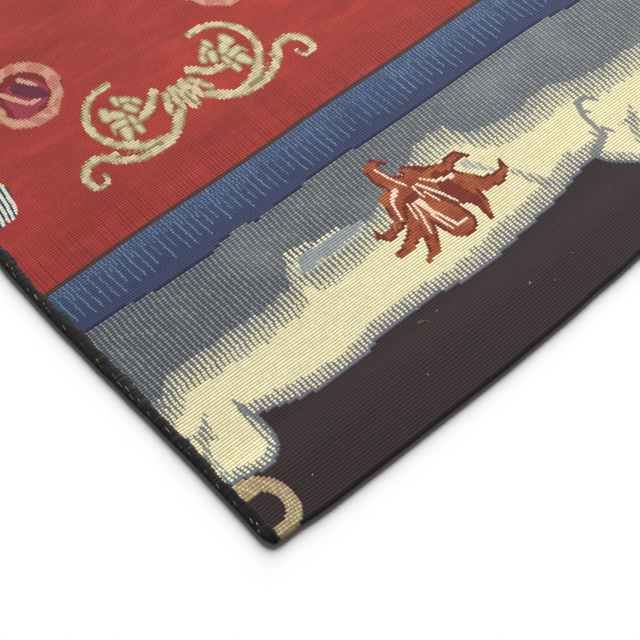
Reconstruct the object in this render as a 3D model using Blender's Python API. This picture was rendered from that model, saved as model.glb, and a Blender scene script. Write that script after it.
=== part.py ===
# Corner length of a flat-woven tapestry, laid flat: one sheet with a turned-under front hem,
# and a thick overcast binding along its left side. Metres, +Z up, +X along the hem,
# +Y from the hem into the field.

import math

import bmesh
import bpy

# Sheet
SHEET_WIDTH = 0.700
SHEET_DEPTH = 0.500
SHEET_THICKNESS = 0.002

# Turned-under hem along the front
HEM_ALLOWANCE = 0.028
HEM_AIR = 0.0004
HEM_EASE = 0.030
FOLD_STEPS = 10
EASE_STEPS = 8

# Rows of the sheet, shared with the binding so that both follow the same side line
FIELD_START = 0.060
FIELD_STEP = 0.020

# Columns of the sheet: close together near the bound side, then evenly along the hem
SIDE_COLUMNS = (0.006, 0.010, 0.016, 0.024, 0.034, 0.048, 0.066, 0.086)
HEM_START = 0.110
HEM_STEP = 0.0295

# How far in from an uneven edge the sheet takes to become straight again
HEM_BLEND = (0.032, 0.095)
SIDE_BLEND = (0.004, 0.060)

# Rounded near corner, where the hem meets the bound side
CORNER_RADIUS = 0.003
CORNER_STEPS = 5

# Overcast binding
BINDING_THICKNESS = 0.0046
BINDING_GAP = 0.0004
BINDING_FIRST_STEP = 0.010
BINDING_CORNERS = 11
BINDING_FLAT = 0.87

# Near end of the binding, drawn in to the corner: y, and its share of the full width and thickness
BINDING_NOSE_MM = (
    {"y": -2.2, "width": 0.26, "thickness": 0.50},
    {"y": -1.6, "width": 0.42, "thickness": 0.70},
    {"y": -0.2, "width": 0.60, "thickness": 0.85},
    {"y": 2.2, "width": 0.80, "thickness": 0.95},
    {"y": 6.0, "width": 0.95, "thickness": 1.00},
    {"y": 12.0, "width": 1.00, "thickness": 1.00},
)

# Front fold line: x along the hem, y of the fold, millimetres
HEM_LINE_MM = (
    {"x": 0, "y": -2.8},
    {"x": 10, "y": -2.8},
    {"x": 40, "y": -4.8},
    {"x": 100, "y": -5.5},
    {"x": 170, "y": -6.0},
    {"x": 220, "y": -5.0},
    {"x": 270, "y": -2.5},
    {"x": 310, "y": -0.5},
    {"x": 380, "y": 0.5},
    {"x": 500, "y": -1.0},
    {"x": 620, "y": -0.5},
    {"x": 700, "y": 0.0},
)

# Left edge of the sheet: y up the side, x of the edge, millimetres
SIDE_LINE_MM = (
    {"y": 0, "x": 1.0},
    {"y": 30, "x": 0.5},
    {"y": 90, "x": 0.5},
    {"y": 150, "x": 0.3},
    {"y": 172, "x": 0.0},
    {"y": 192, "x": -1.6},
    {"y": 235, "x": -2.4},
    {"y": 260, "x": -0.6},
    {"y": 290, "x": 0.8},
    {"y": 350, "x": 0.8},
    {"y": 430, "x": 1.0},
    {"y": 500, "x": 0.0},
)

# Outer side of the binding: y up the side, x of its outermost yarn, millimetres
BINDING_LINE_MM = (
    {"y": 0, "x": -5.5},
    {"y": 30, "x": -5.0},
    {"y": 60, "x": -5.1},
    {"y": 100, "x": -6.0},
    {"y": 130, "x": -7.0},
    {"y": 160, "x": -8.0},
    {"y": 200, "x": -8.6},
    {"y": 240, "x": -8.2},
    {"y": 270, "x": -7.0},
    {"y": 310, "x": -6.0},
    {"y": 400, "x": -6.5},
    {"y": 500, "x": -6.5},
)

# Wool colours
FIELD_RED = (0.38, 0.035, 0.026, 1.0)
BINDING_BLACK = (0.012, 0.011, 0.012, 1.0)
WOOL_ROUGHNESS = 0.9


def smoothstep(t):
    """Ease from 0 to 1 with level ends."""
    t = min(max(t, 0.0), 1.0)
    return t * t * (3.0 - 2.0 * t)


def spread(low, high, step):
    """Even values from low to high, about a step apart."""
    count = round((high - low) / step)
    return [low + (high - low) * index / count for index in range(count + 1)]


def read_line(rows, key, value, at):
    """Smoothly read one of the edge tables, in metres."""
    at_mm = at * 1000.0
    if at_mm <= rows[0][key]:
        return rows[0][value] / 1000.0
    for low, high in zip(rows, rows[1:]):
        if at_mm <= high[key]:
            t = smoothstep((at_mm - low[key]) / (high[key] - low[key]))
            return (low[value] + (high[value] - low[value]) * t) / 1000.0
    return rows[-1][value] / 1000.0


def corner_rise(x):
    """How far the fold draws back at x to round the near corner."""
    reach = CORNER_RADIUS - min(max(x, 0.0), CORNER_RADIUS)
    return CORNER_RADIUS - math.sqrt(CORNER_RADIUS ** 2 - reach ** 2)


def fold_line(x):
    """y of the front fold at x, with the near corner rounded."""
    return read_line(HEM_LINE_MM, "x", "y", x) + corner_rise(x)


def side_line(y):
    """x of the sheet's left edge at y."""
    return read_line(SIDE_LINE_MM, "y", "x", y)


def place(x, y, z):
    """Move a point of the straight sheet to where the uneven edges put it."""
    hem_share = 1.0 - smoothstep((y - HEM_BLEND[0]) / (HEM_BLEND[1] - HEM_BLEND[0]))
    side_share = 1.0 - smoothstep((x - SIDE_BLEND[0]) / (SIDE_BLEND[1] - SIDE_BLEND[0]))
    return (x + side_share * side_line(y), y + hem_share * fold_line(x), z)


def sheet_section():
    """Pairs of (outer, inner) points in the YZ plane, from the hem's cut end round the fold to the far edge."""
    outer_radius = SHEET_THICKNESS + HEM_AIR / 2.0
    inner_radius = HEM_AIR / 2.0
    lift = SHEET_THICKNESS + HEM_AIR
    middle = (HEM_ALLOWANCE + outer_radius) / 2.0
    pairs = [((y, 0.0), (y, SHEET_THICKNESS)) for y in (HEM_ALLOWANCE, middle)]
    for step in range(FOLD_STEPS + 1):
        turn = math.pi * step / FOLD_STEPS
        back, up = math.sin(turn), math.cos(turn)
        pairs.append((
            (outer_radius - outer_radius * back, outer_radius - outer_radius * up),
            (outer_radius - inner_radius * back, outer_radius - inner_radius * up),
        ))
    pairs.append(((middle, lift + SHEET_THICKNESS), (middle, lift)))
    for step in range(EASE_STEPS + 1):
        t = step / EASE_STEPS
        y = HEM_ALLOWANCE + HEM_AIR + HEM_EASE * t
        low = lift * (1.0 - smoothstep(t))
        pairs.append(((y, low + SHEET_THICKNESS), (y, low)))
    pairs += [((y, SHEET_THICKNESS), (y, 0.0)) for y in spread(FIELD_START, SHEET_DEPTH, FIELD_STEP)]
    return pairs


def sheet_stations():
    """x of each section: close together round the near corner, then a row for each bend of the edge tables."""
    near = [CORNER_RADIUS * (1.0 - math.cos(math.pi / 2.0 * step / CORNER_STEPS)) for step in range(CORNER_STEPS + 1)]
    return near + list(SIDE_COLUMNS) + spread(HEM_START, SHEET_WIDTH, HEM_STEP)


def new_object(name, verts, faces, colour):
    """Closed mesh object with outward faces and its own wool material."""
    mesh = bpy.data.meshes.new(name)
    mesh.from_pydata(verts, [], faces)
    shell = bmesh.new()
    shell.from_mesh(mesh)
    bmesh.ops.recalc_face_normals(shell, faces=shell.faces)
    shell.to_mesh(mesh)
    shell.free()
    material = bpy.data.materials.new(name)
    material.use_nodes = True
    wool = material.node_tree.nodes["Principled BSDF"]
    wool.inputs["Base Color"].default_value = colour
    wool.inputs["Roughness"].default_value = WOOL_ROUGHNESS
    wool.inputs["Metallic"].default_value = 0.0
    mesh.materials.append(material)
    made = bpy.data.objects.new(name, mesh)
    bpy.context.scene.collection.objects.link(made)
    return made


def build_sheet():
    """The woven sheet: its folded section swept along the hem."""
    section = sheet_section()
    stations = sheet_stations()
    verts = []
    for x in stations:
        for outer, inner in section:
            verts.append(place(x, *outer))
            verts.append(place(x, *inner))
    row = 2 * len(section)
    faces = []
    for s in range(len(stations) - 1):
        for p in range(len(section) - 1):
            outer_a, outer_b = s * row + 2 * p, (s + 1) * row + 2 * p
            faces.append((outer_a, outer_b, outer_b + 2, outer_a + 2))
            faces.append((outer_a + 1, outer_a + 3, outer_b + 3, outer_b + 1))
        for end in (0, row - 2):
            a, b = s * row + end, (s + 1) * row + end
            faces.append((a, a + 1, b + 1, b))
    for s in (0, len(stations) - 1):
        for p in range(len(section) - 1):
            a = s * row + 2 * p
            faces.append((a, a + 2, a + 3, a + 1))
    return new_object("cloth", verts, faces, FIELD_RED)


def binding_section():
    """Flattened oval, level underneath: points of (share of the width across, height)."""
    rise = BINDING_THICKNESS / (1.0 + BINDING_FLAT)
    middle = rise * BINDING_FLAT
    points = []
    for corner in range(BINDING_CORNERS):
        turn = math.radians(-60.0 + 300.0 * corner / (BINDING_CORNERS - 1))
        points.append((math.cos(turn) / 2.0, max(0.0, middle + rise * math.sin(turn))))
    return points


def binding_rows():
    """Rows up the side: (y, share of the width, share of the thickness)."""
    nose = [(row["y"] / 1000.0, row["width"], row["thickness"]) for row in BINDING_NOSE_MM]
    first = spread(nose[-1][0], FIELD_START, BINDING_FIRST_STEP)[1:]
    rest = spread(FIELD_START, SHEET_DEPTH, FIELD_STEP)[1:]
    return nose + [(y, 1.0, 1.0) for y in first + rest]


def build_binding():
    """The overcast binding: its oval swept up the side line, close against the sheet."""
    section = binding_section()
    rows = binding_rows()
    verts = []
    for y, share, thickness in rows:
        inner = side_line(y) - BINDING_GAP
        width = share * (inner - read_line(BINDING_LINE_MM, "y", "x", y))
        centre = inner - width / 2.0
        for across, up in section:
            verts.append((centre + width * across, y, thickness * up))
    around = len(section)
    faces = []
    for r in range(len(rows) - 1):
        for c in range(around):
            d = (c + 1) % around
            faces.append((r * around + c, r * around + d, (r + 1) * around + d, (r + 1) * around + c))
    faces.append(tuple(range(around)))
    faces.append(tuple(range((len(rows) - 1) * around, len(rows) * around)))
    return new_object("binding_left", verts, faces, BINDING_BLACK)


def centre_on_base(objects):
    """Put the origin at the bottom centre of everything."""
    points = [v.co for made in objects for v in made.data.vertices]
    low = [min(p[axis] for p in points) for axis in range(3)]
    high = [max(p[axis] for p in points) for axis in range(3)]
    shift = (-(low[0] + high[0]) / 2.0, -(low[1] + high[1]) / 2.0, -low[2])
    for made in objects:
        for vertex in made.data.vertices:
            vertex.co = [vertex.co[axis] + shift[axis] for axis in range(3)]
    print("origin moved by", [round(value, 6) for value in shift])


for old in list(bpy.data.objects):
    bpy.data.objects.remove(old)
centre_on_base([build_sheet(), build_binding()])
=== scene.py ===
# %% [markdown]
# # A corner of flat-woven tapestry
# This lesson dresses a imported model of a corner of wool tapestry: one woven sheet with its front
# edge turned under, and a thick black binding overcast up its left side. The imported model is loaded
# first and stays fixed. Everything made here sits on it and is in metres.

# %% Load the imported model
import math
import random

import bpy
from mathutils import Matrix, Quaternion, Vector


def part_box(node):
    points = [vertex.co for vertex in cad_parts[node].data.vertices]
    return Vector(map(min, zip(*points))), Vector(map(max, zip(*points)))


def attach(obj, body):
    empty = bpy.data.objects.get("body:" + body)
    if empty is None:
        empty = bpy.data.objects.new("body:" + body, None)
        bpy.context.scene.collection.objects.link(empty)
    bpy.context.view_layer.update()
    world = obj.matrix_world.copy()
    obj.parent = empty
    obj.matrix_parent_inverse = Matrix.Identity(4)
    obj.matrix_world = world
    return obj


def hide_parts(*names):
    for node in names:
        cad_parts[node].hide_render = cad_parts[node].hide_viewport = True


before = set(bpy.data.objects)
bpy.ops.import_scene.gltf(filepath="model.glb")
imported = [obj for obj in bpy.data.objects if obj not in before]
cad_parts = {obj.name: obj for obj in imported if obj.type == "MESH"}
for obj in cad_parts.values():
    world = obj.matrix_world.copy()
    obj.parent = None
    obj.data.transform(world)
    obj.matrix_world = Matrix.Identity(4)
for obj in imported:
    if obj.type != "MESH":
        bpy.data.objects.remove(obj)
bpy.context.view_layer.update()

# %% [markdown]
# ## Where the sheet starts
# A weaver measures from the near corner: x along the hem and y up the bound side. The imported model
# has its origin in the middle, so the corner is found from the sheet's far edge and right edge.

# %% Sizes of the sheet and its near corner
WIDTH, DEPTH, THICK = 0.700, 0.500, 0.002
HEM = 0.028  # how much of the front is turned under
AIR = 0.0004  # between the sheet and its hem
EASE = 0.030  # how far in from the hem the sheet comes down to the floor

_, cloth_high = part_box("cloth")
CORNER = Vector((cloth_high[0] - WIDTH, cloth_high[1] - DEPTH, 0))
print("near corner at, mm:", [round(c * 1000, 2) for c in CORNER])

# %% [markdown]
# ## Camera
# The photo looks down at the corner from about 57 degrees, turned about 41 degrees to the left.
# A long lens from nearly a metre away gives the same slight narrowing of the ribs.

# %% Camera
AIM = CORNER + Vector((0.1143, 0.0932, THICK))
TURN, RISE, ROLL = math.radians(-41.30), math.radians(56.96), math.radians(0.17)
BACK = Vector((math.sin(TURN) * math.cos(RISE), -math.cos(TURN) * math.cos(RISE), math.sin(RISE)))
DISTANCE = 0.944
FOCAL_PIXELS, FRAME_PIXELS = 1559, 640

camera_data = bpy.data.cameras.new("camera")
camera_data.sensor_width = 36
camera_data.lens = FOCAL_PIXELS / FRAME_PIXELS * camera_data.sensor_width
camera_data.clip_start, camera_data.clip_end = 0.01, 50
camera = bpy.data.objects.new("camera", camera_data)
bpy.context.scene.collection.objects.link(camera)
camera.location = AIM + BACK * DISTANCE
camera.rotation_mode = "QUATERNION"
camera.rotation_quaternion = (-BACK).to_track_quat("-Z", "Y")
camera.rotation_quaternion.rotate(Quaternion(BACK, ROLL))
bpy.context.scene.camera = camera
print("lens, mm:", round(camera_data.lens, 1))

# %% [markdown]
# ## Light and floor
# The cloth lies on plain white under a broad soft lamp. One wide sun from behind the cloth puts a
# short soft shadow in front of the hem and beside the binding, and an even white sky fills the rest.

# %% Light and floor
def bsdf_of(material):
    """The Principled shader of a material."""
    return next(node for node in material.node_tree.nodes if node.type == "BSDF_PRINCIPLED")


def set_plain(node, values):
    """Set the plain values of a node's inputs, by name."""
    for name, value in values.items():
        node.inputs[name].default_value = value


def new_material(name, colour=(0.8, 0.8, 0.8), roughness=0.85):
    """A node material with its plain values set."""
    material = bpy.data.materials.new(name)
    material.use_nodes = True
    set_plain(bsdf_of(material), {"Base Color": (*colour, 1), "Roughness": roughness})
    return material


def new_mesh_object(name, points, faces, material, smooth=True):
    """A linked mesh object with one material."""
    mesh = bpy.data.meshes.new(name)
    mesh.from_pydata(points, [], faces)
    mesh.materials.append(material)
    mesh.polygons.foreach_set("use_smooth", [smooth] * len(faces))
    made = bpy.data.objects.new(name, mesh)
    bpy.context.scene.collection.objects.link(made)
    return made


FLOOR_HALF = 6
floor_points = [(x * FLOOR_HALF, y * FLOOR_HALF, 0) for x, y in ((-1, -1), (1, -1), (1, 1), (-1, 1))]
floor_paper = new_material("floor_paper", (0.93, 0.93, 0.93), 0.9)
floor = new_mesh_object("floor", floor_points, [(0, 1, 2, 3)], floor_paper, smooth=False)

SUN_FROM = Vector((0.74, 0.74, 0.58))
SUN_STRENGTH, SUN_WIDTH, SKY_STRENGTH = 6.2, 42, 0.11
sun_data = bpy.data.lights.new("window", "SUN")
sun_data.energy = SUN_STRENGTH
sun_data.angle = math.radians(SUN_WIDTH)
sun = bpy.data.objects.new("window", sun_data)
bpy.context.scene.collection.objects.link(sun)
sun.rotation_mode = "QUATERNION"
sun.rotation_quaternion = SUN_FROM.to_track_quat("Z", "Y")

sky = bpy.data.worlds.new("sky")
sky.use_nodes = True
set_plain(sky.node_tree.nodes["Background"], {"Color": (1, 1, 1, 1), "Strength": SKY_STRENGTH})
bpy.context.scene.world = sky
bpy.context.scene.view_settings.view_transform = "Standard"

# %% [markdown]
# ## Uneven edges
# A handwoven edge is never straight. Short tables, the same as in the solid model, give the fold
# along the front, the left edge of the cloth and the outside of the binding. Their numbers are in
# millimetres, read smoothly between rows, and points of the sheet near an edge move with it.

# %% Edge tables
# Rows of x along the hem and y of the fold
HEM_LINE = (
    (0, -2.8), (10, -2.8), (40, -4.8), (100, -5.5), (170, -6), (220, -5), (270, -2.5), (310, -0.5),
    (380, 0.5), (500, -1), (620, -0.5), (700, 0),
)
# Rows of y up the side and x of the edge
SIDE_LINE = (
    (0, 1), (30, 0.5), (90, 0.5), (150, 0.3), (172, 0), (192, -1.6), (235, -2.4), (260, -0.6),
    (290, 0.8), (350, 0.8), (430, 1), (500, 0),
)
# Rows of y up the side and x of the outside of the binding
BINDING_LINE = (
    (0, -5.5), (30, -5), (60, -5.1), (100, -6), (130, -7), (160, -8), (200, -8.6), (240, -8.2),
    (270, -7), (310, -6), (400, -6.5), (500, -6.5),
)
CORNER_ROUND = 0.003


def ease(t):
    """From 0 to 1 with level ends."""
    t = min(max(t, 0), 1)
    return t * t * (3 - 2 * t)


def read_line(rows, at, column=1):
    """Smoothly read a column of a table at a place; both are in metres, the table in millimetres."""
    at_mm = at * 1000
    if at_mm <= rows[0][0]:
        return rows[0][column] / 1000
    for low, high in zip(rows, rows[1:]):
        if at_mm <= high[0]:
            t = ease((at_mm - low[0]) / (high[0] - low[0]))
            return (low[column] + (high[column] - low[column]) * t) / 1000
    return rows[-1][column] / 1000


def fold_line(x):
    """y of the front fold at x, rounded at the near corner."""
    reach = CORNER_ROUND - min(max(x, 0), CORNER_ROUND)
    rounding = CORNER_ROUND - math.sqrt(CORNER_ROUND ** 2 - reach ** 2)
    return read_line(HEM_LINE, x) + rounding


def side_line(y):
    """x of the left edge at y."""
    return read_line(SIDE_LINE, y)


print("fold at 150 mm:", round(fold_line(0.150) * 1000, 2), "mm")

# %% [markdown]
# ## The woven sheet
# A tapestry weaver packs coloured wefts over stretched warps, so the face shows rounded ribs, here
# 2 mm apart, that run along the hem. The sheet is a long ribbon: from the hidden cut end of the
# hem, round the fold, down off the hem and on to the far edge. Its rows follow the ribs, four to a
# rib on the face and two on the back, so every rib is real geometry with a groove beside it.

# %% Path of the sheet, side on
RIB, RIB_HEIGHT = 0.002, 0.00034
MIDDLE = THICK / 2
FOLD_RADIUS = (THICK + AIR) / 2
LIFT = THICK + AIR


def sheet_path(run):
    """(y, z) of the middle of the sheet and its way up, a run from the fold. The hem has negative runs."""
    front = FOLD_RADIUS + MIDDLE
    half_turn = FOLD_RADIUS * math.pi
    if run < front - half_turn:
        return front + (front - half_turn - run), MIDDLE, (0, -1)
    if run < front:
        turn = (front - run) / FOLD_RADIUS
        way = (-math.sin(turn), math.cos(turn))
        return front + FOLD_RADIUS * way[0], front + FOLD_RADIUS * way[1], way
    drop = ease((run - HEM - AIR) / EASE)
    return run, MIDDLE + LIFT * (1 - drop), (0, 1)


def rib_rise(run):
    """Height of the rounded rib at a run, from its groove."""
    across = (run / RIB) % 1 * 2 - 1
    return RIB_HEIGHT * (math.sqrt(max(0, 1 - 0.97 * across * across)) - 0.17)


HEM_RUN = FOLD_RADIUS + MIDDLE - FOLD_RADIUS * math.pi - (HEM - FOLD_RADIUS - MIDDLE)
print("sheet, unfolded, mm:", round((DEPTH - HEM_RUN) * 1000, 1), "x", WIDTH * 1000)

# %% [markdown]
# ## Ribs that stray
# The weave also wanders a little inside the sheet: ribs lift towards the bound side and sway by
# about a millimetre. Moving the rows moves the ribs and the design together, as on the loom.

# %% Place a point of the sheet
def sway(x, run):
    """How far a rib strays from straight, along y."""
    near_side = 0.0022 * math.exp(-x / 0.016) * math.sin(run / 0.052 - 0.6)
    slow = 0.0007 * math.sin(x / 0.061 + run / 0.11) + 0.0004 * math.sin(x / 0.023 - run / 0.07 + 1)
    return (near_side + slow) * ease(run / 0.05) * ease((DEPTH - run) / 0.04)


def place(x, y, z, run):
    """Move a point of the straight sheet to where its uneven edges put it."""
    hem_share = 1 - ease((run - 0.003) / 0.045)
    side_share = 1 - ease((x - 0.002) / 0.030)
    at_y = y + hem_share * fold_line(x) + sway(x, run)
    return CORNER + Vector((x + side_share * side_line(max(y, 0)), at_y, z))


COLUMNS = [0, 0.0004, 0.001, 0.0018, 0.003, 0.005, 0.008, 0.012, 0.017, 0.023, 0.030, 0.040]
COLUMNS += [0.055 + (WIDTH - 0.055) * step / 32 for step in range(33)]
FACE_STEPS = (0, 0.17, 0.5, 0.83)
first_rib = math.ceil(HEM_RUN / RIB)
last_rib = int(DEPTH / RIB)
RUNS = [(rib + step) * RIB for rib in range(first_rib, last_rib) for step in FACE_STEPS] + [DEPTH]
print("ribs:", last_rib - first_rib, "rows:", len(RUNS), "columns:", len(COLUMNS))

# %% [markdown]
# ## Join the rows into one skin
# Face and back are rows of points on either side of the middle of the sheet, joined along all four
# edges, so the skin is closed. Each corner of a face remembers its place on the flat sheet in metres,
# in a UV map named weave, so that the design follows the cloth round the fold. A second UV map lays
# face, back and edges side by side for baking.

# %% Build the sheet
FACE_SINK, BACK_SINK = 0.62, 0.83  # how much of the rib's height lies inside the sheet's thickness
OFF_FLOOR = 0.00002
BAKE_STRIPS = {"face": (0.262, 0.734), "back": (0.022, 0.232)}  # lower end and height


def build_sheet(name, material):
    """Face and back of the sheet as one closed mesh, with its two UV maps."""
    points, places, faces, parts = [], [], [], []

    def add_row(run, sink, way_out):
        """A row of points on the face (way_out 1) or on the back (-1); returns their numbers."""
        y, z, way = sheet_path(run)
        out = way_out * (MIDDLE + rib_rise(run) - RIB_HEIGHT * sink)
        for x in COLUMNS:
            points.append(place(x, y + way[0] * out, max(z + way[1] * out, OFF_FLOOR), run))
            places.append((x, run))
        return range(len(points) - len(COLUMNS), len(points))

    def add_face(part, *corners):
        faces.append(corners)
        parts.append(part)

    face_rows, back_rows = [], []
    for number, run in enumerate(RUNS):
        face_rows.append(add_row(run, FACE_SINK, 1))
        if number % 2 == 0:
            back_rows.append(add_row(run, BACK_SINK, -1))
    last = len(COLUMNS) - 1
    for a, b in zip(face_rows, face_rows[1:]):
        for c in range(last):
            add_face("face", a[c], a[c + 1], b[c + 1], b[c])
    for r, (a, b) in enumerate(zip(back_rows, back_rows[1:])):
        for c in range(last):
            add_face("back", a[c], b[c], b[c + 1], a[c + 1])
        low, mid, high = face_rows[2 * r:2 * r + 3]
        add_face("side", low[0], mid[0], high[0], b[0], a[0])
        add_face("side", a[last], b[last], high[last], mid[last], low[last])
    near, near_back, far, far_back = face_rows[0], back_rows[0], face_rows[-1], back_rows[-1]
    for c in range(last):
        add_face("side", far[c], far[c + 1], far_back[c + 1], far_back[c])
        add_face("side", near[c], near_back[c], near_back[c + 1], near[c + 1])
    made = new_mesh_object(name, points, faces, material)
    weave = made.data.uv_layers.new(name="weave")
    bake = made.data.uv_layers.new(name="OFBake")
    at = 0
    for corners, part in zip(faces, parts):
        for x, run in (places[corner] for corner in corners):
            weave.data[at].uv = (x, run)
            along, up = x / WIDTH, (run - RUNS[0]) / (DEPTH - RUNS[0])
            if part in BAKE_STRIPS:
                start, height = BAKE_STRIPS[part]
                bake.data[at].uv = (0.004 + 0.992 * along, start + height * up)
            else:
                bake.data[at].uv = (0.004 + 0.992 * up, 0.006 + 0.008 * along)
            at += 1
    made.data.uv_layers.active = weave
    return made


weave_material = new_material("tapestry_weave", roughness=0.88)
cloth = build_sheet("tapestry", weave_material)
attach(cloth, "root")
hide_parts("cloth")
print("sheet faces:", len(cloth.data.polygons))

# %% [markdown]
# ## Drawing with numbers
# The design is a sum of simple rules, such as "red above 219 mm", so it is written as arithmetic on
# shader sockets. A small class lets the script write `x * 2 + 1` and get the Math nodes for it. The
# nodes are made in the order in which they are worked out, which keeps the shader light.

# %% Arithmetic on shader sockets
ink = {"tree": None, "count": 0}


def new_node(kind):
    """A node in the current tree, laid out in rows of thirty."""
    node = ink["tree"].nodes.new(kind)
    node.location = (ink["count"] % 30 * 190, -(ink["count"] // 30) * 260)
    ink["count"] += 1
    return node


def feed(socket, value):
    """Link a Value into a socket, or set a plain number there."""
    if isinstance(value, Value):
        ink["tree"].links.new(value.socket, socket)
    else:
        socket.default_value = value


def made_of(kind, *values, out=0, operation=None):
    """A node of a kind, its inputs fed in order; returns one of its outputs."""
    node = new_node(kind)
    if operation:
        node.operation = operation
    for socket, value in zip(node.inputs, values):
        feed(socket, value)
    return Value(node.outputs[out])


def calc(operation, *values):
    """One Math node."""
    return made_of("ShaderNodeMath", *values, operation=operation)


def within(value):
    """Keep a value between 0 and 1."""
    return made_of("ShaderNodeClamp", value)


def sign(operation):
    """What an arithmetic sign does between a value and something else."""
    return lambda a, b: calc(operation, a, b)


class Value:
    """A number that varies over the cloth."""

    def __init__(self, socket):
        self.socket = socket

    def __rsub__(self, other):
        return calc("SUBTRACT", other, self)

    __add__ = __radd__ = sign("ADD")
    __sub__ = sign("SUBTRACT")
    __mul__ = __rmul__ = sign("MULTIPLY")
    __truediv__ = sign("DIVIDE")
    __lt__, __gt__ = sign("LESS_THAN"), sign("GREATER_THAN")


def vector_calc(operation, *values, out=0):
    """One Vector Math node."""
    return made_of("ShaderNodeVectorMath", *values, out=out, operation=operation)


def scaled(vector, factor):
    """A vector or a colour times a number."""
    node = new_node("ShaderNodeVectorMath")
    node.operation = "SCALE"
    feed(node.inputs[0], vector)
    feed(node.inputs["Scale"], factor)
    return Value(node.outputs[0])


def spot(x, y):
    """A point from two numbers."""
    return made_of("ShaderNodeCombineXYZ", x, y)


def x_and_y(point):
    """The first two numbers of a point."""
    node = new_node("ShaderNodeSeparateXYZ")
    feed(node.inputs[0], point)
    return Value(node.outputs[0]), Value(node.outputs[1])


def whole_and_part(value):
    """Which line of a row of lines a place is in, and how far across it."""
    return calc("FLOOR", value), calc("FRACT", value)


def both(a, b):
    return calc("MULTIPLY", a, b)


def either(a, b):
    return calc("MAXIMUM", a, b)


print("arithmetic ready")

# %% [markdown]
# ## Chance and clouds
# Handwork is uneven in two ways. Some things change at once from one yarn to the next, which is a
# random number for each whole number. Others drift slowly, which is soft noise, along one number or
# stretched over the cloth.

# %% Random numbers and soft noise
def chance(number):
    """A steady random number from 0 to 1 for each whole number. Adding to the number gives other draws."""
    node = new_node("ShaderNodeTexWhiteNoise")
    node.noise_dimensions = "1D"
    feed(node.inputs["W"], number)
    return Value(node.outputs["Value"])


def soft_noise(kind, place, scale, detail):
    """Noise about 0.5: 1D along a number, 2D or 3D over points."""
    node = new_node("ShaderNodeTexNoise")
    node.noise_dimensions = kind
    feed(node.inputs["W" if kind == "1D" else "Vector"], place)
    set_plain(node, {"Scale": scale, "Detail": detail})
    return Value(node.outputs["Fac"])


def drift(number, bumps):
    """Soft noise along a number, with a count of bumps per unit."""
    return soft_noise("1D", number, bumps, 1)


def clouds(along, up, detail=2):
    """Soft noise over the cloth, with counts of bumps per metre along and up."""
    node = new_node("ShaderNodeMapping")
    feed(node.inputs["Vector"], uv)
    set_plain(node, {"Scale": (along, up, 1)})
    return soft_noise("2D", Value(node.outputs[0]), 1, detail)


print("noise ready")

# %% [markdown]
# ## Edges and colours
# A wavy edge is a curve through a few rows of a table. Colours are given as seen on a screen and
# turned into light, and each part of the design is painted over what is there where its mask is 1.

# %% Curves and colours
def profile(x, rows):
    """A curve through a table's rows, read at x."""
    node = new_node("ShaderNodeFloatCurve")
    start, end = rows[0][0], rows[-1][0]
    low = min(value for _, value in rows) - 1
    high = max(value for _, value in rows) + 1
    curve = node.mapping.curves[0]
    for number, (at, value) in enumerate(rows):
        place_on = ((at - start) / (end - start), (value - low) / (high - low))
        if number == 0:
            curve.points[0].location = place_on
        elif number == len(rows) - 1:
            curve.points[-1].location = place_on
        else:
            curve.points.new(*place_on)
    node.mapping.update()
    feed(node.inputs["Value"], (x - start) / (end - start))
    return Value(node.outputs[0]) * (high - low) + low


def wool(red, green, blue):
    """Screen colour, 0 to 255, as light."""
    return tuple(c / 12.92 if c <= 0.04045 else ((c + 0.055) / 1.055) ** 2.4
                 for c in (red / 255, green / 255, blue / 255)) + (1,)


def paint(under, over, where):
    """Lay one colour over another where the mask is 1."""
    node = new_node("ShaderNodeMix")
    node.data_type = "RGBA"
    feed(node.inputs[0], where)
    feed(node.inputs[6], under)
    feed(node.inputs[7], over)
    return Value(node.outputs[2])


def woollen(material, height, strength, distance, sheen, shine):
    """Give a material a bump from a height, and the soft sheen of wool."""
    bump = new_node("ShaderNodeBump")
    set_plain(bump, {"Strength": strength, "Distance": distance})
    feed(bump.inputs["Height"], height)
    shader = bsdf_of(material)
    feed(shader.inputs["Normal"], Value(bump.outputs[0]))
    set_plain(shader, {"Sheen Weight": sheen, "Sheen Roughness": 0.5, "Specular IOR Level": shine})


print("paint ready")

# %% [markdown]
# ## A stroke of colour
# Leaves, scrolls and grapes are all made of tapered strokes: a line from one point to another with
# a half-width at each end. One node group measures how far a point is from such a stroke, below
# zero inside it. An arc group does the same for curls.

# %% Stroke and arc groups
def new_group(name, inputs):
    """A node group with the given inputs and one distance output; returns it with its input values."""
    tree = bpy.data.node_groups.new(name, "ShaderNodeTree")
    for label, kind in inputs:
        tree.interface.new_socket(label, in_out="INPUT", socket_type=kind)
    tree.interface.new_socket("Distance", in_out="OUTPUT", socket_type="NodeSocketFloat")
    ink.update(tree=tree, count=0)
    start = new_node("NodeGroupInput")
    return tree, [Value(start.outputs[label]) for label, _ in inputs]


def close_group(distance):
    ink["tree"].links.new(distance.socket, new_node("NodeGroupOutput").inputs[0])


VECTOR, NUMBER = "NodeSocketVector", "NodeSocketFloat"

stroke_group, (at, a, b, wide_a, wide_b) = new_group(
    "stroke", (("Point", VECTOR), ("From", VECTOR), ("To", VECTOR), ("Start", NUMBER), ("End", NUMBER)))
along = vector_calc("SUBTRACT", b, a)
away = vector_calc("SUBTRACT", at, a)
share = within(vector_calc("DOT_PRODUCT", away, along, out=1)
               / vector_calc("DOT_PRODUCT", along, along, out=1))
gap = vector_calc("LENGTH", vector_calc("SUBTRACT", away, scaled(along, share)), out=1)
close_group(gap - calc("MULTIPLY_ADD", share, wide_b - wide_a, wide_a))

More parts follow.
